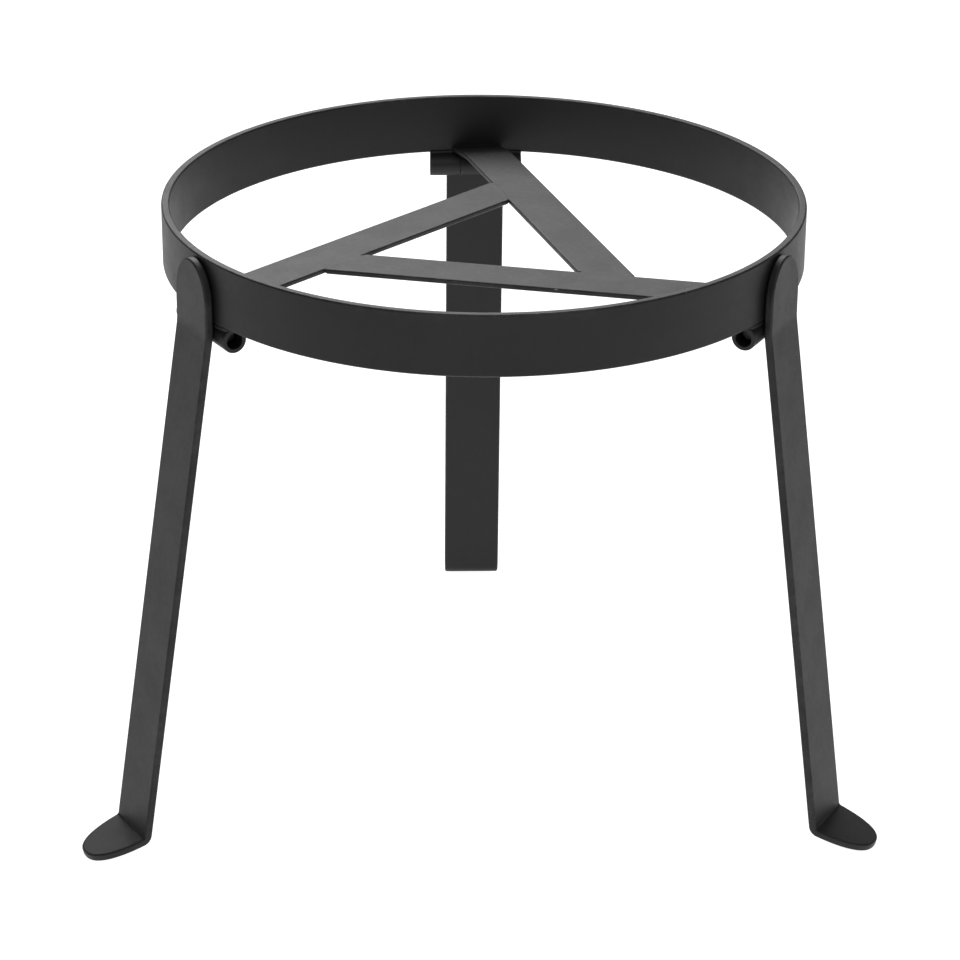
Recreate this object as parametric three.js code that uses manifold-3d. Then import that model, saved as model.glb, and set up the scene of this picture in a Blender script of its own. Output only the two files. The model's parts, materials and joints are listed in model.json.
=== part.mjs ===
// Propane burner stand: a rolled hoop with a three-bar grate inside its lower edge, carried by
// three flat-bar legs. Each leg turns on a barrel hinge under the hoop and folds in beneath it;
// its rounded top end lies on the outside of the hoop and stops it when the stand is open. The
// feet slope down, so the stand rests on their tips.
//
// Millimetres, +Z up, floor at Z = 0. The back leg points along +Y.

import * as THREE from "three";
import { mergeVertices } from "three/addons/utils/BufferGeometryUtils.js";
import Module from "manifold-3d";

const wasm = await Module();
wasm.setup();

// ---------------------------------------------------------------- driving dimensions

const STAND_HEIGHT = 300;
const FIT_GAP = 0.3; // air between pieces that touch or are welded
const EDGE_EASE = 0.6; // the small bevel of a sheared bar's edges

const HOOP_RADIUS = 155; // outside
const BAR_THICKNESS = 4; // the flat bar of hoop and legs
const HOOP_HEIGHT = 30;

const GRATE_BAR_WIDTH = 24;
const GRATE_BAR_THICKNESS = 2.5;
const GRATE_DROP = 23.5; // from the hoop's rim to the grate's top face
const GRATE_END_DIP = 3.4; // how far a bar's end is bent down to its hinge
const GRATE_END_LENGTH = 22; // the bent stretch
const GRATE_BEND_RADIUS = 60;
const GRATE_SKEW = THREE.MathUtils.degToRad(16.3); // a bar's angle off the radius it starts on

const HINGE_RADIUS = 6; // outside of the rolled barrels
const HINGE_BORE_RADIUS = 4;
const HINGE_WIDTH = 48;
const PIN_RADIUS = 3.65;
const PIN_LENGTH = 34; // its ends sit well inside the outer barrels

const LEG_WIDTH = 30;
const LEG_TOP_DROP = 1.8; // from the hoop's rim to the leg's tip
const KNEE_BEND_RADIUS = 30; // centre line of the bar
const ANKLE_BEND_RADIUS = 3.5; // centre line of the bar
const FOOT_LENGTH = 27.7; // centre line of the bar, from the ankle's corner to the tip
const FOOT_TILT = THREE.MathUtils.degToRad(14);

// Both ends of a leg are superellipses: the length over which the bar narrows, and the exponent.
const TOP_END = { taper: 19, exponent: 2 };
const FOOT_END = { taper: 34, exponent: 2.4 };

const HOOP_SEGMENTS = 144;
const BARREL_SEGMENTS = 40;
const END_SEGMENTS = 28; // round one end of a leg
const BEND_STEP = THREE.MathUtils.degToRad(5);

// ---------------------------------------------------------------- derived places

const hoopTop = STAND_HEIGHT;
const hoopBottom = hoopTop - HOOP_HEIGHT;
const legInnerFace = HOOP_RADIUS + FIT_GAP;
const legCentre = legInnerFace + BAR_THICKNESS / 2;
const hingeAxisRadius = legInnerFace - FIT_GAP - HINGE_RADIUS;
const hingeAxisHeight = hoopBottom - FIT_GAP - HINGE_RADIUS;
const barrelWidth = HINGE_WIDTH / 3 - FIT_GAP;

const ankleHeight = (BAR_THICKNESS / 2) * Math.cos(FOOT_TILT) + FOOT_LENGTH * Math.sin(FOOT_TILT);

// The stations round the hoop, one leg, hinge and grate bar at each, in degrees. The knees are
// bent by hand, so no two legs splay quite alike.
const STATIONS = [
  { place: "back", azimuth: 90, splay: 6.5 },
  { place: "front_left", azimuth: 210, splay: 9.2 },
  { place: "front_right", azimuth: 330, splay: 7.9 },
];

// ---------------------------------------------------------------- materials

const blackCoat = { color: 0x1b1b1c, roughness: 0.55, metalness: 0.1 };
const bareSteel = { color: 0x5a5a5c, roughness: 0.4, metalness: 0.9 };

function piece(name, geometry, look) {
  const mesh = new THREE.Mesh(geometry, new THREE.MeshStandardMaterial(look));
  mesh.name = name;
  return mesh;
}

// ---------------------------------------------------------------- solids

function solidFrom(geometry) {
  const bare = geometry.clone();
  bare.deleteAttribute("normal");
  bare.deleteAttribute("uv");
  const merged = mergeVertices(bare, 1e-4);
  return new wasm.Manifold(
    new wasm.Mesh({
      numProp: 3,
      vertProperties: merged.attributes.position.array,
      triVerts: new Uint32Array(merged.index.array),
    }),
  );
}

function geometryFrom(solid) {
  const mesh = solid.getMesh();
  const geometry = new THREE.BufferGeometry();
  geometry.setAttribute("position", new THREE.BufferAttribute(mesh.vertProperties, 3));
  geometry.setIndex(new THREE.BufferAttribute(mesh.triVerts, 1));
  geometry.computeVertexNormals();
  return geometry;
}

// A hollow body: a closed loop of (radius, height) points turned about Y.
function turned(loop, segments) {
  return new THREE.LatheGeometry([...loop, loop[0].clone()], segments);
}

// A rectangle of (radius, height) points with eased corners, in the order that makes a turned
// body face out.
function easedSection(inner, outer, low, high, ease) {
  const corners = [
    [inner + ease, low],
    [outer - ease, low],
    [outer, low + ease],
    [outer, high - ease],
    [outer - ease, high],
    [inner + ease, high],
    [inner, high - ease],
    [inner, low + ease],
  ];
  return corners.map(([radius, height]) => new THREE.Vector2(radius, height));
}

// ---------------------------------------------------------------- bent flat bar

// Points along a chain of straight runs joined by arcs, each with the direction of travel there.
function bentPath(corners, radii) {
  const along = (angle, length) => new THREE.Vector2(length * Math.cos(angle), length * Math.sin(angle));
  const heading = (a, b) => Math.atan2(b.y - a.y, b.x - a.x);
  const last = corners.length - 1;
  const path = [{ point: corners[0], angle: heading(corners[0], corners[1]) }];
  radii.forEach((radius, i) => {
    const corner = corners[i + 1];
    const from = heading(corners[i], corner);
    const turn = heading(corner, corners[i + 2]) - from;
    const side = Math.sign(turn) * radius;
    const start = corner.clone().sub(along(from, radius * Math.tan(Math.abs(turn) / 2)));
    const centre = start.add(along(from + Math.PI / 2, side));
    const steps = Math.ceil(Math.abs(turn) / BEND_STEP);
    for (let k = 0; k <= steps; k++) {
      const angle = from + (turn * k) / steps;
      path.push({ point: centre.clone().sub(along(angle + Math.PI / 2, side)), angle });
    }
  });
  path.push({ point: corners[last], angle: heading(corners[last - 1], corners[last]) });
  return path;
}

// A flat bar that follows a path in the XZ plane, with its width along Y and its long edges eased.
function barAlong(path, width, thickness) {
  const reach = thickness / 2 - EDGE_EASE;
  const offset = (side) =>
    path.map(({ point, angle }) => {
      const normal = new THREE.Vector2(-Math.sin(angle), Math.cos(angle));
      return point.clone().add(normal.multiplyScalar(side * reach));
    });
  const outline = new THREE.Shape([...offset(1), ...offset(-1).reverse()]);
  const depth = width - 2 * EDGE_EASE;
  return new THREE.ExtrudeGeometry(outline, {
    depth,
    bevelSize: EDGE_EASE,
    bevelThickness: EDGE_EASE,
    bevelSegments: 1,
  })
    .rotateX(Math.PI / 2)
    .translate(0, depth / 2, 0);
}

// ---------------------------------------------------------------- hoop

function hoopGeometry() {
  const inner = HOOP_RADIUS - BAR_THICKNESS;
  const section = easedSection(inner, HOOP_RADIUS, hoopBottom, hoopTop, EDGE_EASE);
  return turned(section, HOOP_SEGMENTS).rotateX(Math.PI / 2);
}

// ---------------------------------------------------------------- grate

// One grate bar. It starts at the hoop's wall over a hinge, runs past the hoop's axis at a fixed
// distance, and butts against the next bar, so the three close a triangle. In the bar's own frame
// x runs inwards along it and the hoop's axis is at (0, -passing distance).
function grateBarGeometry() {
  const wallCut = HOOP_RADIUS - BAR_THICKNESS - 3 * FIT_GAP;
  const passing = wallCut * Math.sin(GRATE_SKEW);
  const half = GRATE_BAR_WIDTH / 2;
  const nextEdge = passing - half - FIT_GAP;
  const wallX = (y) => (Math.sin(GRATE_SKEW) * (y + passing) - wallCut) / Math.cos(GRATE_SKEW);
  const buttX = (y) => (nextEdge + Math.cos(Math.PI / 3) * (y + passing)) / Math.sin(Math.PI / 3);

  const middle = hoopTop - GRATE_DROP - GRATE_BAR_THICKNESS / 2;
  const corners = [
    new THREE.Vector2(wallX(-half) - half, middle - GRATE_END_DIP * (1 + half / GRATE_END_LENGTH)),
    new THREE.Vector2(wallX(0) + GRATE_END_LENGTH, middle),
    new THREE.Vector2(buttX(half) + half, middle),
  ];
  const path = bentPath(corners, [GRATE_BEND_RADIUS]);
  const bar = barAlong(path, GRATE_BAR_WIDTH, GRATE_BAR_THICKNESS);
  const plan = new THREE.Shape([
    new THREE.Vector2(wallX(-half), -half),
    new THREE.Vector2(buttX(-half), -half),
    new THREE.Vector2(buttX(half), half),
    new THREE.Vector2(wallX(half), half),
  ]);
  const trim = new THREE.ExtrudeGeometry(plan, { depth: STAND_HEIGHT, bevelEnabled: false });
  return geometryFrom(solidFrom(bar).intersect(solidFrom(trim))).translate(0, passing, 0);
}

// ---------------------------------------------------------------- hinge

function barrelGeometry(along) {
  const half = barrelWidth / 2;
  const section = easedSection(HINGE_BORE_RADIUS, HINGE_RADIUS, -half, half, EDGE_EASE / 2);
  return turned(section, BARREL_SEGMENTS).translate(hingeAxisRadius, along, hingeAxisHeight);
}

function pinGeometry() {
  const half = PIN_LENGTH / 2;
  const profile = [
    new THREE.Vector2(0, -half),
    new THREE.Vector2(PIN_RADIUS - EDGE_EASE, -half),
    new THREE.Vector2(PIN_RADIUS, EDGE_EASE - half),
    new THREE.Vector2(PIN_RADIUS, half - EDGE_EASE),
    new THREE.Vector2(PIN_RADIUS - EDGE_EASE, half),
    new THREE.Vector2(0, half),
  ];
  const pin = new THREE.LatheGeometry(profile, BARREL_SEGMENTS);
  return pin.translate(hingeAxisRadius, 0, hingeAxisHeight);
}

// ---------------------------------------------------------------- leg

// The corners of the bar's centre line, in the (radius, height) plane, from its top to its foot.
function legCorners(splay) {
  const lean = Math.tan(THREE.MathUtils.degToRad(splay));
  const ankle = new THREE.Vector2(legCentre + lean * (hingeAxisHeight - ankleHeight), ankleHeight);
  const foot = new THREE.Vector2(Math.cos(FOOT_TILT), -Math.sin(FOOT_TILT));
  return [
    new THREE.Vector2(legCentre, hoopTop - LEG_TOP_DROP),
    new THREE.Vector2(legCentre, hingeAxisHeight),
    ankle,
    ankle.clone().add(foot.multiplyScalar(FOOT_LENGTH)),
  ];
}

// A long plate in the XY plane, reaching back along -x from a superellipse end whose tip is at x = 0.
function roundedPlate({ taper, exponent }, length, depth) {
  const half = LEG_WIDTH / 2;
  const power = (value) => Math.sign(value) * Math.abs(value) ** (2 / exponent);
  const outline = [new THREE.Vector2(-length, -LEG_WIDTH), new THREE.Vector2(-taper, -LEG_WIDTH)];
  for (let k = 0; k <= END_SEGMENTS; k++) {
    const turn = (k / END_SEGMENTS - 0.5) * Math.PI;
    outline.push(new THREE.Vector2((power(Math.cos(turn)) - 1) * taper, power(Math.sin(turn)) * half));
  }
  outline.push(new THREE.Vector2(-taper, LEG_WIDTH), new THREE.Vector2(-length, LEG_WIDTH));
  const plate = new THREE.ExtrudeGeometry(new THREE.Shape(outline), { depth, bevelEnabled: false });
  return plate.translate(0, 0, -depth / 2);
}

function legGeometry(splay) {
  const room = 4 * STAND_HEIGHT;
  const corners = legCorners(splay);
  const tip = corners[corners.length - 1];
  const topEnd = roundedPlate(TOP_END, room, room)
    .rotateY(-Math.PI / 2)
    .translate(0, 0, hoopTop - LEG_TOP_DROP);
  const footEnd = roundedPlate(FOOT_END, room, room).rotateY(FOOT_TILT).translate(tip.x, 0, tip.y);
  const path = bentPath(corners, [KNEE_BEND_RADIUS, ANKLE_BEND_RADIUS]);
  const bar = solidFrom(barAlong(path, LEG_WIDTH, BAR_THICKNESS));
  return geometryFrom(bar.intersect(solidFrom(topEnd)).intersect(solidFrom(footEnd)));
}

// ---------------------------------------------------------------- assembly

const stand = new THREE.Group();
stand.add(piece("hoop", hoopGeometry(), blackCoat));

for (const { place, azimuth, splay } of STATIONS) {
  const station = new THREE.Group();
  station.rotation.z = THREE.MathUtils.degToRad(azimuth);
  station.add(piece(`leg_${place}`, legGeometry(splay), blackCoat));
  station.add(piece(`hinge_barrel_mid_${place}`, barrelGeometry(0), blackCoat));
  // Left and right as seen from the hoop's axis.
  for (const [side, way] of [["left", 1], ["right", -1]]) {
    const along = (way * HINGE_WIDTH) / 3;
    station.add(piece(`hinge_barrel_${side}_${place}`, barrelGeometry(along), blackCoat));
  }
  station.add(piece(`hinge_pin_${place}`, pinGeometry(), bareSteel));

  const bar = piece(`grate_bar_${place}`, grateBarGeometry(), blackCoat);
  bar.rotation.z = Math.PI + GRATE_SKEW;
  station.add(bar);
  stand.add(station);
}

// The origin lies on the floor under the middle of the stand's box.
const middle = new THREE.Box3().setFromObject(stand, true).getCenter(new THREE.Vector3());
const root = new THREE.Group();
stand.position.set(-middle.x, -middle.y, 0);
root.add(stand);

export default root;
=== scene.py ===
"""Looks of the propane burner stand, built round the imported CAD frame.

The stand is flat bar with a satin black powder coat: a rolled hoop, three grate bars, three
folding legs, tube hinges and small weld beads. Every piece is in metres in the CAD frame.
"""

import json
import math

import bpy
import numpy as np
from mathutils import Matrix, Vector, noise


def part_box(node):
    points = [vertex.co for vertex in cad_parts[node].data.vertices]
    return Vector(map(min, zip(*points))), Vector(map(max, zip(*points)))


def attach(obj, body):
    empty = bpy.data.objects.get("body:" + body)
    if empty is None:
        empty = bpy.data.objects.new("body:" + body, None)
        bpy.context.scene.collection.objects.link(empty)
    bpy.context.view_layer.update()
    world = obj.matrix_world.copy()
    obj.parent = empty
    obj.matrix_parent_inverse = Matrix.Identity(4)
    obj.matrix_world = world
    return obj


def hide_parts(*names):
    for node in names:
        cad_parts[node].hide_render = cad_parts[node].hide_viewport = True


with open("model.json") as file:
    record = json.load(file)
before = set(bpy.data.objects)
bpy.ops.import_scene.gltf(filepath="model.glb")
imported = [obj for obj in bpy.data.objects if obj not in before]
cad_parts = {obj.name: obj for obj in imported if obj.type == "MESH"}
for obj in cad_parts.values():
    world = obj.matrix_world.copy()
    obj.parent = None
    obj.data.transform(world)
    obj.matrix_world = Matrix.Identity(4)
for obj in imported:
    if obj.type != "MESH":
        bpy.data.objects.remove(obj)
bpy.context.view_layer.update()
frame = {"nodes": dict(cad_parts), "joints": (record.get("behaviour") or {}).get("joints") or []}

MM = 0.001

# ---------------------------------------------------------------- places read from the frame

hoop_low, hoop_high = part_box("hoop")
leg_low, leg_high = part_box("leg_back")
barrel_low, barrel_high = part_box("hinge_barrel_mid_back")
_, grate_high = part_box("grate_bar_back")
hinges = {j["child"]: Vector(j["pos_m"]) for j in frame["joints"]}

HOOP_RADIUS = (hoop_high.x - hoop_low.x) / 2
HOOP_AXIS = Vector(((hoop_high.x + hoop_low.x) / 2, (hoop_high.y + hoop_low.y) / 2, 0))
HOOP_TOP = hoop_high.z
HOOP_BOTTOM = hoop_low.z
HINGE_RADIAL = hinges["back_leg"].y - HOOP_AXIS.y
HINGE_HEIGHT = hinges["back_leg"].z
BARREL_RADIUS = (barrel_high.z - barrel_low.z) / 2
BARREL_WIDTH = barrel_high.x - barrel_low.x
LEG_WIDTH = leg_high.x - leg_low.x
LEG_TOP = leg_high.z
GRATE_TOP = grate_high.z

BAR = 4 * MM  # thickness of the hoop's and the legs' flat bar
GAP = 0.3 * MM  # air between pieces in the CAD
EDGE = 1.0 * MM  # radius of the bars' edges
BORE = 4 * MM  # radius of the hinge barrels' bore
BARREL_EDGE = 0.45 * MM
BARREL_PITCH = BARREL_WIDTH + GAP
KNEE_BEND = 30 * MM
ANKLE_BEND = 3.5 * MM
FOOT_LENGTH = 27.7 * MM
FOOT_TILT = math.radians(14)
TOP_END = (19 * MM, 2.0)  # a leg's rounded ends: taper length and superellipse exponent
FOOT_END = (34 * MM, 2.4)

GRATE_WIDTH = 24 * MM
GRATE_BAR = 2.5 * MM
GRATE_EDGE = 0.8 * MM
GRATE_SKEW = math.radians(16.3)
GRATE_DIP = 3.4 * MM
GRATE_DIP_LENGTH = 22 * MM
GRATE_BEND = 60 * MM

WELD_FILL = 1.8 * MM  # radius of the beads between the outer barrels and the hoop's lower edge
WELD_FILL_CLEAR = 6.4 * MM  # from the hinge's axis to such a bead's middle
WELD_INNER = 1.0 * MM  # radius of the smaller beads under the hoop's inner side
WELD_INNER_CLEAR = 6.3 * MM
WELD_INNER_SHIFT = 0.4 * MM  # how far those lie inside the hoop's inner side
WELD_LEG = 1.8 * MM  # radius of the bead between a leg and its middle barrel
WELD_LEG_OUT = 5.0 * MM  # that bead's middle, outwards from the hinge's axis and below it
WELD_LEG_DOWN = 4.7 * MM
WELD_GRATE = 1.5 * MM  # radius of the beads where the grate bars meet the hoop
WELD_BUTT = 2.2 * MM  # half width of the flat filler where two grate bars meet
WELD_BUTT_FLAT = 0.586  # its height as a share of its width

# azimuth and leg splay of each station, in degrees
STATIONS = {"back": (90.0, 6.5), "front_left": (210.0, 9.2), "front_right": (330.0, 7.9)}


# ---------------------------------------------------------------- meshes

def smooth_piece(name, points, faces, edges, material):
    """A smooth mesh in the scene; its attribute "edge" is 1 on rounded corners, where the coat gets
    real wear and a painted highlight, and 0 on flat faces.
    """
    mesh = bpy.data.meshes.new(name)
    mesh.from_pydata([tuple(p) for p in points], [], faces)
    mesh.polygons.foreach_set("use_smooth", [True] * len(mesh.polygons))
    wear_and_highlight_values = mesh.attributes.new("edge", "FLOAT", "POINT")
    wear_and_highlight_values.data.foreach_set("value", [float(e) for e in edges])
    mesh.materials.append(material)
    piece = bpy.data.objects.new(name, mesh)
    bpy.context.scene.collection.objects.link(piece)
    return piece


def new_piece(name, points, faces, normals, edges, material):
    """A smooth mesh whose vertex normals are given, so that its flat faces stay flat."""
    piece = smooth_piece(name, points, faces, edges, material)
    piece.data.normals_split_custom_set_from_vertices([tuple(n) for n in normals])
    return piece


def finish_piece(piece, body, *nodes, slot="black_coat"):
    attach(piece, body)
    if nodes:
        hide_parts(*nodes)
    return piece


class Station:
    """The radial plane of one leg: x outwards from the hoop's axis, y to the left, z up."""

    def __init__(self, azimuth):
        a = math.radians(azimuth)
        self.out = Vector((math.cos(a), math.sin(a), 0))
        self.left = Vector((-math.sin(a), math.cos(a), 0))

    def direction(self, x, y, z):
        return self.out * x + self.left * y + Vector((0, 0, z))

    def point(self, x, y, z):
        return HOOP_AXIS + self.direction(x, y, z)


class Path:
    """Straight runs joined by arcs, in a plane; at(u) gives a point and a heading."""

    def __init__(self, corners, radii):
        corners = [np.array(c, float) for c in corners]
        self.parts = []
        start, length = corners[0], 0.0
        for k, radius in enumerate(radii):
            a, b, c = corners[k], corners[k + 1], corners[k + 2]
            h0 = math.atan2(*(b - a)[::-1])
            h1 = math.atan2(*(c - b)[::-1])
            turn = (h1 - h0 + math.pi) % (2 * math.pi) - math.pi
            cut = radius * math.tan(abs(turn) / 2)
            run = np.linalg.norm(b - start) - cut
            self.parts.append((length, run, start, h0, 0.0))
            length += run
            start = start + run * np.array([math.cos(h0), math.sin(h0)])
            arc = radius * abs(turn)
            self.parts.append((length, arc, start, h0, turn))
            length += arc
            start = b + cut * np.array([math.cos(h1), math.sin(h1)])
        last = corners[-1] - start
        run = np.linalg.norm(last)
        self.parts.append((length, run, start, math.atan2(last[1], last[0]), 0.0))
        self.length = length + run

    def at(self, u):
        part = self.parts[0]
        for candidate in self.parts:
            if u >= candidate[0]:
                part = candidate
        begin, run, start, heading, turn = part
        s = u - begin
        if turn == 0.0:
            return start + s * np.array([math.cos(heading), math.sin(heading)]), heading
        radius = run / turn
        h = heading + s / radius
        side = np.array([math.sin(h) - math.sin(heading), math.cos(heading) - math.cos(h)])
        return start + radius * side, h

    def stations(self, begin, end, straight_step, arc_steps):
        """Places along the path: a few in each straight run, more in each arc."""
        found = [begin]
        for start, run, _, _, turn in self.parts:
            count = arc_steps if turn else max(1, round(run / straight_step))
            found += [start + run * k / count for k in range(count + 1)]
        found = sorted(u for u in found if begin <= u <= end) + [end]
        kept = [found[0]]
        for u in found[1:]:
            if u - kept[-1] > 0.05 * MM:
                kept.append(u)
        return kept


RIM_STEPS = 4  # steps in a quarter of a rounded edge
CORNER_TURN = math.radians(25)  # an outline that turns more than this in one point has a corner
SAME_PLACE = 1e-6  # points closer than this are one point
# The attribute "edge" marks the rounded edges: they get real rubbed wear and a painted highlight that
# lightens the coat.
RIM_WEAR_AND_HIGHLIGHT = 0.3  # the attribute "edge" where the rounding leaves a flat face
EDGE_SIDE_WEAR_AND_HIGHLIGHT = 0.75  # and where it reaches a bar's narrow side


def plate(grid, place, thickness, edge):
    """A thick plate with rounded edges. grid[i][j] holds (u, v) of the flat part, whose outline
    is the plate's outline less the edge radius; place(u, v, h) gives a point, and
    place(u, v, h, direction) the direction of (du, dv, dh) there."""
    rows, columns = len(grid), len(grid[0])
    half = thickness / 2
    points, normals, wear_and_highlight_values, faces = [], [], [], []
    index = {}

    def vertex(u, v, h, du, dv, dh, wear_and_highlight):
        points.append(place(u, v, h))
        normals.append(place(u, v, h, (du, dv, dh)).normalized())
        wear_and_highlight_values.append(wear_and_highlight)
        return len(points) - 1

    def flat(i, j, side):
        u, v = grid[i][j]
        key = (round(u, 7), round(v, 7), side)
        if key not in index:
            rim = i in (0, rows - 1) or j in (0, columns - 1)
            index[key] = vertex(u, v, side * half, 0, 0, side, RIM_WEAR_AND_HIGHLIGHT if rim else 0.0)
        return index[key]

    for i in range(rows - 1):
        for j in range(columns - 1):
            for side in (1, -1):
                ring = [flat(i, j, side), flat(i + 1, j, side),
                        flat(i + 1, j + 1, side), flat(i, j + 1, side)]
                ring = [a for k, a in enumerate(ring) if a != ring[k - 1]]
                if len(ring) > 2:
                    faces.append(ring if side == 1 else ring[::-1])

    loop = [(i, 0) for i in range(rows)]
    loop += [(rows - 1, j) for j in range(1, columns)]
    loop += [(i, columns - 1) for i in range(rows - 2, -1, -1)]
    loop += [(0, j) for j in range(columns - 2, 0, -1)]
    trimmed = []
    for i, j in loop:
        if not trimmed or math.dist(grid[i][j], grid[trimmed[-1][0]][trimmed[-1][1]]) > SAME_PLACE:
            trimmed.append((i, j))
    if math.dist(grid[trimmed[0][0]][trimmed[0][1]], grid[trimmed[-1][0]][trimmed[-1][1]]) < SAME_PLACE:
        trimmed.pop()

    def heading(a, b):
        (u0, v0), (u1, v1) = grid[a[0]][a[1]], grid[b[0]][b[1]]
        return math.atan2(v1 - v0, u1 - u0)

    rim = []
    for k, here in enumerate(trimmed):
        before = heading(trimmed[k - 1], here)
        after = heading(here, trimmed[(k + 1) % len(trimmed)])
        turn = (after - before + math.pi) % (2 * math.pi) - math.pi
        if abs(turn) > CORNER_TURN:
            spread = [before + turn * m / RIM_STEPS for m in range(RIM_STEPS + 1)]
        else:
            spread = [before + turn / 2]
        for h in spread:
            rim.append((here, (math.sin(h), -math.cos(h))))

    # outwards is to the right of travel when the loop runs anticlockwise in (u, v)
    area = sum(
        grid[a[0]][a[1]][0] * grid[b[0]][b[1]][1] - grid[b[0]][b[1]][0] * grid[a[0]][a[1]][1]
        for a, b in zip(trimmed, trimmed[1:] + trimmed[:1])
    )
    way = 1 if area > 0 else -1
    columns_made = []
    for (i, j), (nu, nv) in rim:
        u, v = grid[i][j]
        nu, nv = nu * way, nv * way
        column = [flat(i, j, 1)]
        for side, order in ((1, range(1, RIM_STEPS + 1)), (-1, range(RIM_STEPS, 0, -1))):
            for k in order:
                t = math.pi / 2 * k / RIM_STEPS
                out = edge * math.sin(t)
                h = side * (half - edge * (1 - math.cos(t)))
                # A rounded edge gets the full share of wear and painted highlight.
                wear_and_highlight = 1.0 if k < RIM_STEPS else EDGE_SIDE_WEAR_AND_HIGHLIGHT
                column.append(
                    vertex(u + out * nu, v + out * nv, h,
                           math.sin(t) * nu, math.sin(t) * nv, side * math.cos(t), wear_and_highlight)
                )
        column.append(flat(i, j, -1))
        columns_made.append(column)
    for k, column in enumerate(columns_made):
        following = columns_made[(k + 1) % len(columns_made)]
        for a in range(len(column) - 1):
            ring = [column[a], column[a + 1], following[a + 1], following[a]]
            ring = [x for m, x in enumerate(ring) if x != ring[m - 1]]
            if len(ring) > 2:
                faces.append(ring if way == 1 else ring[::-1])
    return points, faces, normals, wear_and_highlight_values


def rounded_section(inner, outer, low, high, edge, steps, inner_steps, side_steps):
    """(radius, height, normal, share of edge wear and painted highlight) round a rectangle with rounded
    corners, anticlockwise.
    """
    corners = [
        (outer - edge, low + edge, -90),
        (outer - edge, high - edge, 0),
        (inner + edge, high - edge, 90),
        (inner + edge, low + edge, 180),
    ]
    ring = []
    for k, (r, z, start) in enumerate(corners):
        for m in range(steps + 1):
            a = math.radians(start + 90 * m / steps)
            wear_and_highlight = RIM_WEAR_AND_HIGHLIGHT if m in (0, steps) else 1.0
            ring.append((r + edge * math.cos(a), z + edge * math.sin(a),
                         math.cos(a), math.sin(a), wear_and_highlight))
        following = corners[(k + 1) % 4]
        a = math.radians(start + 90)
        count = side_steps if k in (0, 2) else inner_steps
        end = (following[0] + edge * math.cos(a), following[1] + edge * math.sin(a))
        begin = ring[-1]
        for m in range(1, count):
            s = m / count
            ring.append((begin[0] + (end[0] - begin[0]) * s, begin[1] + (end[1] - begin[1]) * s,
                         math.cos(a), math.sin(a), 0.0))
    return ring


def revolve(ring, segments, place):
    """Turns a section about an axis; place(radius, height, angle) gives a point or a direction."""
    points, normals, wear_and_highlight_values, faces = [], [], [], []
    size = len(ring)
    for k in range(segments):
        a = 2 * math.pi * k / segments
        for r, z, nr, nz, wear_and_highlight in ring:
            points.append(place(r, z, a, False))
            normals.append(place(nr, nz, a, True))
            wear_and_highlight_values.append(wear_and_highlight)
    for k in range(segments):
        following = (k + 1) % segments
        for m in range(size):
            n = (m + 1) % size
            faces.append([k * size + m, following * size + m, following * size + n, k * size + n])
    return points, faces, normals, wear_and_highlight_values


BEAD_RIPPLE = 1.9 * MM
BEAD_STEP = 0.45 * MM  # between a bead's rings
BEAD_AROUND = 32  # points in a ring
BEAD_END = 1.4  # length of a bead's tapered end, in bead radii
BEAD_LUMP = 1.3 * MM  # size of the unevenness along a bead
BEAD_LUMP_ROUND = 2.2  # radius of the noise's circle round a bead, in noise units
# The attribute "edge" on welds: its share of edge wear and painted highlight.
WELD_WEAR_AND_HIGHLIGHT = 0.25


def bead(name, line, radius, material, rough=0.06, flat=(1, 1), square=1.0, seed=0):
    """A weld bead swept along a line of points, with the ripples the torch leaves, tapering at
    its ends. flat scales the section sideways and upwards; a square below 1 flattens its faces."""
    line = [Vector(p) for p in line]
    lengths = [0.0]
    for a, b in zip(line, line[1:]):
        lengths.append(lengths[-1] + (b - a).length)
    total = lengths[-1]
    rings, around = max(8, round(total / BEAD_STEP)), BEAD_AROUND

    def at(s):
        k = min(max(np.searchsorted(lengths, s) - 1, 0), len(line) - 2)
        share = (s - lengths[k]) / (lengths[k + 1] - lengths[k])
        return line[k].lerp(line[k + 1], share)

    points, faces = [], []
    for k in range(rings + 1):
        s = total * k / rings
        here = at(s)
        tangent = (at(min(total, s + radius / 2)) - at(max(0, s - radius / 2))).normalized()
        first = Vector((0, 0, 1)).cross(tangent).normalized()
        second = tangent.cross(first)
        end = min(s, total - s) / (BEAD_END * radius)
        taper = math.sqrt(max(0.0, 1 - (1 - min(1.0, end)) ** 2))
        wave = 1 + rough * 0.5 * math.cos(2 * math.pi * s / BEAD_RIPPLE)
        if k in (0, rings):
            points.append(here)
            continue
        for m in range(around):
            a = 2 * math.pi * m / around
            spot = noise.noise(Vector((s / BEAD_LUMP, BEAD_LUMP_ROUND * math.cos(a),
                                       seed + BEAD_LUMP_ROUND * math.sin(a))))
            r = radius * taper * wave * (1 + rough * spot)
            x = math.copysign(abs(math.cos(a)) ** square, math.cos(a))
            y = math.copysign(abs(math.sin(a)) ** square, math.sin(a))
            points.append(here + first * (r * flat[0] * x) + second * (r * flat[1] * y))
    last = len(points) - 1
    for m in range(around):
        n = (m + 1) % around
        faces.append([0, 1 + n, 1 + m])
        for k in range(rings - 2):
            a, b = 1 + k * around, 1 + (k + 1) * around
            faces.append([a + m, a + n, b + n, b + m])
        a = 1 + (rings - 2) * around
        faces.append([a + m, a + n, last])
    return smooth_piece(name, points, faces, [WELD_WEAR_AND_HIGHLIGHT] * len(points), material)


# ---------------------------------------------------------------- materials

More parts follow.
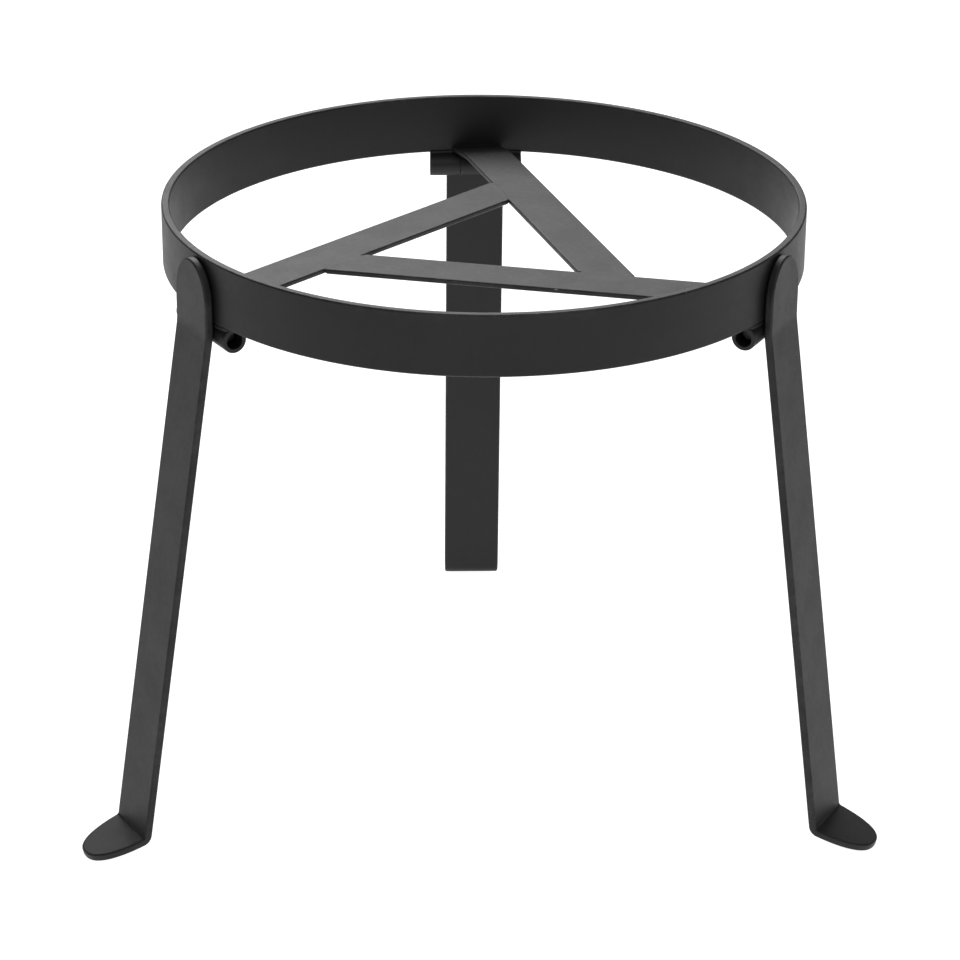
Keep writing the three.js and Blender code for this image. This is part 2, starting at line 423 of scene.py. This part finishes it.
class Nodes:
    """Short calls for a material's nodes."""

    def __init__(self, name):
        self.material = bpy.data.materials.new(name)
        self.material.use_nodes = True
        self.tree = self.material.node_tree
        self.tree.nodes.clear()
        self.output = self.tree.nodes.new("ShaderNodeOutputMaterial")

    def add(self, kind, inputs=(), **settings):
        node = self.tree.nodes.new(kind)
        for key, value in settings.items():
            setattr(node, key, value)
        for key, value in dict(inputs).items():
            if isinstance(value, bpy.types.NodeSocket):
                self.tree.links.new(value, node.inputs[key])
            else:
                node.inputs[key].default_value = value
        return node

    def place(self):
        return self.add("ShaderNodeTexCoord").outputs["Object"]

    def noise(self, where, scale, detail=3.0, roughness=0.5, distortion=0.0):
        node = self.add("ShaderNodeTexNoise", {"Vector": where, "Scale": scale, "Detail": detail,
                                               "Roughness": roughness, "Distortion": distortion})
        return node.outputs["Fac"]

    def remap(self, value, low, high, new_low, new_high):
        return self.add("ShaderNodeMapRange", {"Value": value, "From Min": low, "From Max": high,
                                               "To Min": new_low, "To Max": new_high}).outputs["Result"]

    def maths(self, operation, a, b):
        return self.add("ShaderNodeMath", {0: a, 1: b}, operation=operation).outputs[0]

    def mix(self, share, a, b):
        node = self.add("ShaderNodeMix", data_type="RGBA")
        for socket, value in ((node.inputs[0], share), (node.inputs[6], a), (node.inputs[7], b)):
            if isinstance(value, bpy.types.NodeSocket):
                self.tree.links.new(value, socket)
            else:
                socket.default_value = value
        return node.outputs[2]

    def bump(self, height, strength, distance, normal=None):
        inputs = {"Height": height, "Strength": strength, "Distance": distance}
        if normal is not None:
            inputs["Normal"] = normal
        return self.add("ShaderNodeBump", inputs).outputs["Normal"]

    def surface(self, **inputs):
        sockets = {key.replace("_", " "): value for key, value in inputs.items()}
        shader = self.add("ShaderNodeBsdfPrincipled", sockets)
        self.tree.links.new(shader.outputs["BSDF"], self.output.inputs["Surface"])
        return self.material


def grey(value, warm=0.0):
    return (value * (1 + warm), value, value * (1 - warm), 1)


def powder_coat(name, body, roughness, grain):
    """Satin black powder coat: slightly uneven black, fine orange peel, and polished edges that are
    lightened, partly as real rubbed wear and partly as a painted highlight.
    """
    n = Nodes(name)
    where = n.place()
    cloud = n.noise(where, 28, 4, 0.55)
    speckle = n.noise(where, 900, 2, 0.6)
    colour = n.mix(n.remap(cloud, 0.3, 0.7, 0, 1), grey(body * 0.86), grey(body * 1.16, 0.02))
    dust = n.remap(speckle, 0.62, 0.8, 0, 0.35)
    colour = n.mix(dust, colour, grey(body * 2.4, 0.03))

    edge = n.add("ShaderNodeAttribute", attribute_name="edge").outputs["Fac"]
    chafe = n.noise(where, 150, 5, 0.65)
    patches = n.noise(where, 22, 2, 0.5)
    # Painted highlight mixed with real wear: the rounded edges are lightened towards grey 0.075 in
    # noisy patches, where light would catch them.
    rub_and_painted_highlight = n.maths("MULTIPLY", edge, n.remap(chafe, 0.35, 0.7, 0.15, 1.0))
    rub_and_painted_highlight = n.maths("MULTIPLY", rub_and_painted_highlight, n.remap(patches, 0.4, 0.62, 0.35, 1.0))
    colour = n.mix(n.remap(rub_and_painted_highlight, 0.1, 1.0, 0, 0.45), colour, grey(0.075, 0.02))
    chips = n.maths("MULTIPLY", n.remap(edge, 0.4, 0.8, 0, 1), n.noise(where, 85, 3, 0.7, 0.6))
    colour = n.mix(n.remap(chips, 0.69, 0.74, 0, 0.85), colour, grey(0.30, 0.02))

    handled = n.noise(where, 55, 4, 0.6, 0.4)
    rough = n.remap(handled, 0.3, 0.7, roughness - 0.03, roughness + 0.03)
    fine = n.noise(where, 420, 2, 0.5)
    rough = n.maths("ADD", rough, n.remap(fine, 0.3, 0.7, -0.02, 0.02))
    rough = n.maths("SUBTRACT", rough, n.remap(rub_and_painted_highlight, 0.1, 1.0, 0, 0.08))

    peel = n.noise(where, 1100, 2, 0.5)
    waves = n.noise(where, 130, 2, 0.5)
    normal = n.bump(waves, 0.15, 0.10 * MM)
    normal = n.bump(peel, grain, 0.06 * MM, normal)
    return n.surface(Base_Color=colour, Roughness=rough, Metallic=0.0, Normal=normal,
                     Specular_IOR_Level=0.3)


def turned_steel(name):
    """Dull drawn steel of the pins, with turning marks and a dark film of oil."""
    n = Nodes(name)
    where = n.place()
    film = n.noise(where, 160, 4, 0.6)
    colour = n.mix(n.remap(film, 0.35, 0.7, 0, 1), grey(0.05, 0.03), grey(0.12, 0.02))
    marks = n.noise(where, 2400, 2, 0.6)
    rough = n.remap(film, 0.3, 0.7, 0.32, 0.5)
    return n.surface(Base_Color=colour, Roughness=rough, Metallic=0.9,
                     Normal=n.bump(marks, 0.3, 0.03 * MM))


coat = powder_coat("black_coat", 0.010, 0.50, 0.25)
weld_coat = powder_coat("black_coat_on_weld", 0.009, 0.54, 0.5)
pin_steel = turned_steel("pin_steel")


# ---------------------------------------------------------------- hoop

def hoop_place(radius, height, angle, is_direction):
    spot = Vector((radius * math.cos(angle), radius * math.sin(angle), height))
    return spot if is_direction else HOOP_AXIS + spot


section = rounded_section(HOOP_RADIUS - BAR, HOOP_RADIUS, HOOP_BOTTOM, HOOP_TOP, EDGE, 4, 12, 4)
hoop = new_piece("hoop_band", *revolve(section, 360, hoop_place), coat)
finish_piece(hoop, "stand", "hoop")


# ---------------------------------------------------------------- legs

def leg_path(splay):
    """The bar's centre line in the radial plane: down the hoop's outside, splayed, then the foot."""
    middle = HOOP_RADIUS + GAP + BAR / 2
    ankle_height = BAR / 2 * math.cos(FOOT_TILT) + FOOT_LENGTH * math.sin(FOOT_TILT)
    ankle = middle + math.tan(math.radians(splay)) * (HINGE_HEIGHT - ankle_height)
    tip = (ankle + FOOT_LENGTH * math.cos(FOOT_TILT), ankle_height - FOOT_LENGTH * math.sin(FOOT_TILT))
    corners = [(middle, LEG_TOP), (middle, HINGE_HEIGHT), (ankle, ankle_height), tip]
    return Path(corners, [KNEE_BEND, ANKLE_BEND])


def end_shares(exponent, steps):
    """Shares of a rounded end's length and of its half width, from its base to its tip."""
    shares = [math.sin(math.pi / 2 * k / steps) for k in range(steps + 1)]
    return [(x, max(0.0, 1 - x**exponent) ** (1 / exponent)) for x in shares]


def leg_grid(path):
    across, half = 24, LEG_WIDTH / 2 - EDGE
    turns = [math.sin(math.pi * (k / across - 0.5)) for k in range(across + 1)]
    (top, top_power), (foot, foot_power) = TOP_END, FOOT_END
    foot_base = path.length - foot
    rows = [(top - (top - EDGE) * x, w) for x, w in reversed(end_shares(top_power, 16))]
    rows += [(u, 1.0) for u in path.stations(top, foot_base, 6 * MM, 12)[1:-1]]
    toe = [(foot_base + (foot - EDGE) * x, w) for x, w in end_shares(foot_power, 26)]
    us, ws = zip(*toe)
    bend = [u for u in path.stations(foot_base, path.length - EDGE, foot, 14)[1:-1]
            if min(abs(u - taken) for taken in us) > 0.15 * MM]
    rows += sorted(toe + [(u, float(np.interp(u, us, ws))) for u in bend])
    return [[(u, half * w * t) for t in turns] for u, w in rows]


def leg_place(station, path):
    def place(u, v, h, direction=None):
        (x, z), heading = path.at(u)
        c, s = math.cos(heading), math.sin(heading)
        if direction is None:
            return station.point(x - s * h, v, z + c * h)
        du, dv, dh = direction
        return station.direction(c * du - s * dh, dv, s * du + c * dh)
    return place


# ---------------------------------------------------------------- grate bars

wall_cut = HOOP_RADIUS - BAR - 3 * GAP
passing = wall_cut * math.sin(GRATE_SKEW)
grate_half = GRATE_WIDTH / 2
next_edge = passing - grate_half - GAP


def wall_x(y):
    return (math.sin(GRATE_SKEW) * (y + passing) - wall_cut) / math.cos(GRATE_SKEW)


def butt_x(y):
    return (next_edge + math.cos(math.pi / 3) * (y + passing)) / math.sin(math.pi / 3)


grate_middle = GRATE_TOP - GRATE_BAR / 2
grate_path = Path(
    [
        (wall_x(-grate_half) - grate_half,
         grate_middle - GRATE_DIP * (1 + grate_half / GRATE_DIP_LENGTH)),
        (wall_x(0) + GRATE_DIP_LENGTH, grate_middle),
        (butt_x(grate_half) + grate_half, grate_middle),
    ],
    [GRATE_BEND],
)
grate_samples = [grate_path.at(grate_path.length * k / 2000) for k in range(2001)]
grate_xs = [p[0] for p, _ in grate_samples]
grate_zs = [p[1] for p, _ in grate_samples]
grate_headings = [h for _, h in grate_samples]


def grate_grid():
    inset = grate_half - GRATE_EDGE
    ys = [inset * (2 * k / 12 - 1) for k in range(13)]
    start = [wall_x(y) + GRATE_EDGE / math.cos(GRATE_SKEW) for y in ys]
    end = [butt_x(y) - GRATE_EDGE / math.sin(math.pi / 3) for y in ys]
    first, last = max(start) + 2 * MM, min(end) - 2 * MM
    rows = [[(a + (first - a) * k / 4, y) for a, y in zip(start, ys)] for k in range(4)]
    count = 48
    rows += [[(first + (last - first) * k / count, y) for y in ys] for k in range(count + 1)]
    rows += [[(last + (b - last) * k / 4, y) for b, y in zip(end, ys)] for k in range(1, 5)]
    return rows


def grate_spot(x, y, z):
    """From a grate bar's own frame to its station's."""
    turn = math.pi + GRATE_SKEW
    c, s = math.cos(turn), math.sin(turn)
    return c * x - s * y, s * x + c * y, z


def grate_place(station):
    def place(x, y, h, direction=None):
        heading = np.interp(x, grate_xs, grate_headings)
        c, s = math.cos(heading), math.sin(heading)
        if direction is None:
            z = np.interp(x, grate_xs, grate_zs)
            return station.point(*grate_spot(x - s * h, y + passing, z + c * h))
        dx, dy, dh = direction
        return station.direction(*grate_spot(c * dx - s * dh, dy, s * dx + c * dh))
    return place


# ---------------------------------------------------------------- hinges

def barrel(name, station, along, material):
    half = BARREL_WIDTH / 2
    ring = rounded_section(BORE, BARREL_RADIUS, -half, half, BARREL_EDGE, 4, 8, 3)

    def place(radius, height, angle, is_direction):
        c, s = radius * math.cos(angle), radius * math.sin(angle)
        if is_direction:
            return station.direction(c, -height, s)
        return station.point(HINGE_RADIAL + c, along - height, HINGE_HEIGHT + s)

    return new_piece(name, *revolve(ring, 72, place), material)


def under_hoop_line(station, way, radius, clear, shift=0.0):
    """Along an outer barrel, in the groove between it and the hoop: it follows the hoop's curve
    at a radius, and stays the given distance from the hinge's axis."""
    begin = BARREL_PITCH - BARREL_WIDTH / 2 + 1.0 * MM
    end = BARREL_PITCH + BARREL_WIDTH / 2 + 0.2 * MM
    line = []
    for k in range(17):
        t = way * (begin + (end - begin) * k / 16)
        x = math.sqrt(radius**2 - t**2) - shift
        height = math.sqrt(clear**2 - (x - HINGE_RADIAL) ** 2)
        line.append(station.point(x, t, HINGE_HEIGHT + height))
    return line


def leg_weld_line(station):
    """In the corner under the middle barrel, against the leg's inner face."""
    reach = BARREL_WIDTH / 2 - 0.4 * MM
    return [
        station.point(HINGE_RADIAL + WELD_LEG_OUT, reach * (k / 6 - 1), HINGE_HEIGHT - WELD_LEG_DOWN)
        for k in range(13)
    ]


def grate_wall_line(station):
    """Between the end of a grate bar and the hoop's wall."""
    line = []
    for k in range(13):
        y = (grate_half - 0.3 * MM) * (k / 6 - 1)
        x, t, z = grate_spot(wall_x(y), y + passing, 0)
        height = np.interp(wall_x(y), grate_xs, grate_zs)
        line.append(station.point(x + 0.45 * MM, t, height + 0.1 * MM))
    return line


def grate_butt_line(station):
    """Along the joint where a grate bar ends against the next one."""
    line = []
    for k in range(13):
        y = (grate_half - 0.1 * MM) * (k / 6 - 1)
        x, t, z = grate_spot(butt_x(y) + GAP / 2, y + passing, grate_middle)
        line.append(station.point(x, t, z))
    return line


def weld(name, body, line, radius, material=weld_coat, **shape):
    return finish_piece(bead(name, line, radius, material, **shape), body)


for number, (place, (azimuth, splay)) in enumerate(STATIONS.items()):
    station = Station(azimuth)
    path = leg_path(splay)
    leg_body = place + "_leg"
    seed = 10 * number

    leg_bar = plate(leg_grid(path), leg_place(station, path), BAR, EDGE)
    finish_piece(new_piece("leg_bar_" + place, *leg_bar, coat), leg_body, "leg_" + place)

    flat_bar = plate(grate_grid(), grate_place(station), GRATE_BAR, GRATE_EDGE)
    finish_piece(new_piece("grate_flat_" + place, *flat_bar, coat), "stand", "grate_bar_" + place)

    middle = barrel("barrel_mid_" + place, station, 0, coat)
    finish_piece(middle, leg_body, "hinge_barrel_mid_" + place)
    weld("weld_leg_" + place, leg_body, leg_weld_line(station), WELD_LEG, seed=seed)

    for side, way in (("left", 1), ("right", -1)):
        outer = barrel(f"barrel_{side}_{place}", station, way * BARREL_PITCH, coat)
        finish_piece(outer, "stand", f"hinge_barrel_{side}_{place}")
        fill = under_hoop_line(station, way, HOOP_RADIUS - WELD_FILL, WELD_FILL_CLEAR)
        weld(f"weld_hoop_{side}_{place}", "stand", fill, WELD_FILL, seed=seed + way)
        inner = under_hoop_line(station, way, HOOP_RADIUS - BAR, WELD_INNER_CLEAR, WELD_INNER_SHIFT)
        weld(f"weld_inner_{side}_{place}", "stand", inner, WELD_INNER, seed=seed + 2 * way)

    weld("weld_grate_" + place, "stand", grate_wall_line(station), WELD_GRATE, seed=seed + 3)
    weld("weld_butt_" + place, "stand", grate_butt_line(station), WELD_BUTT, coat, rough=0.0,
         flat=(1, WELD_BUTT_FLAT), square=0.5, seed=seed + 5)

    pin = frame["nodes"]["hinge_pin_" + place]
    pin.data.materials.clear()
    pin.data.materials.append(pin_steel)


# ---------------------------------------------------------------- floor, light, camera

FLOOR_SIZE = 12


def pale_floor():
    n = Nodes("pale_floor")
    cloud = n.noise(n.place(), 3, 3, 0.5)
    colour = n.mix(cloud, grey(0.30), grey(0.33))
    material = n.surface(Base_Color=colour, Roughness=0.8,
                         Emission_Color=grey(1.0), Emission_Strength=1.0)
    bpy.ops.mesh.primitive_plane_add(size=FLOOR_SIZE, location=(0, 0, 0))
    floor = bpy.context.object
    floor.name = "floor"
    floor.data.materials.append(material)


def softbox(name, azimuth, elevation, distance, width, height, strength):
    """A rectangular light aimed at the stand. Azimuth 0 is in front of it, 90 at its right."""
    a, e = math.radians(azimuth), math.radians(elevation)
    target = Vector((0, 0, 0.2))
    away = Vector((math.sin(a) * math.cos(e), -math.cos(a) * math.cos(e), math.sin(e)))
    light = bpy.data.lights.new(name, "AREA")
    light.shape = "RECTANGLE"
    light.size, light.size_y = width, height
    light.energy = strength * width * height * math.pi  # strength is its radiance
    lamp = bpy.data.objects.new(name, light)
    lamp.location = target + away * distance
    lamp.rotation_euler = away.to_track_quat("Z", "Y").to_euler()
    lamp.visible_camera = False
    bpy.context.scene.collection.objects.link(lamp)


def studio_world():
    world = bpy.data.worlds.new("studio")
    bpy.context.scene.world = world
    world.use_nodes = True
    tree = world.node_tree
    tree.nodes.clear()
    out = tree.nodes.new("ShaderNodeOutputWorld")
    back = tree.nodes.new("ShaderNodeBackground")
    back.inputs["Color"].default_value = (1, 1, 1, 1)
    back.inputs["Strength"].default_value = 0.15
    tree.links.new(back.outputs["Background"], out.inputs["Surface"])


def photo_camera():
    """Stands in front of the hoop, a little to the left, and looks down past its centre."""
    azimuth, elevation = math.radians(-1.8), math.radians(19.853)
    distance = 10.654 * HOOP_RADIUS
    tilt, pan, roll = math.radians(-4.764), math.radians(-0.036), math.radians(0.394)
    aim = HOOP_AXIS + Vector((0, 0, HOOP_TOP))
    away = Vector((math.sin(azimuth) * math.cos(elevation), -math.cos(azimuth) * math.cos(elevation),
                   math.sin(elevation)))
    data = bpy.data.cameras.new("camera")
    data.lens, data.sensor_width = 128.19, 36
    data.clip_start, data.clip_end = 0.05, 50
    camera = bpy.data.objects.new("camera", data)
    look = away.to_track_quat("Z", "Y").to_matrix()
    look = look @ Matrix.Rotation(-pan, 3, "Y") @ Matrix.Rotation(tilt, 3, "X")
    look = look @ Matrix.Rotation(roll, 3, "Z")
    camera.matrix_world = Matrix.LocRotScale(aim + away * distance, look, None)
    bpy.context.scene.collection.objects.link(camera)
    bpy.context.scene.camera = camera


pale_floor()
studio_world()
softbox("back_left", -155, 40, 1.3, 0.9, 0.8, 1.9)
softbox("back", 180, 38, 1.5, 1.2, 0.8, 3.2)
softbox("high_back", 180, 62, 1.5, 1.2, 0.8, 2.2)
softbox("front", 10, 50, 1.5, 1.2, 0.8, 1.5)
photo_camera()
bpy.context.scene.view_settings.view_transform = "Standard"
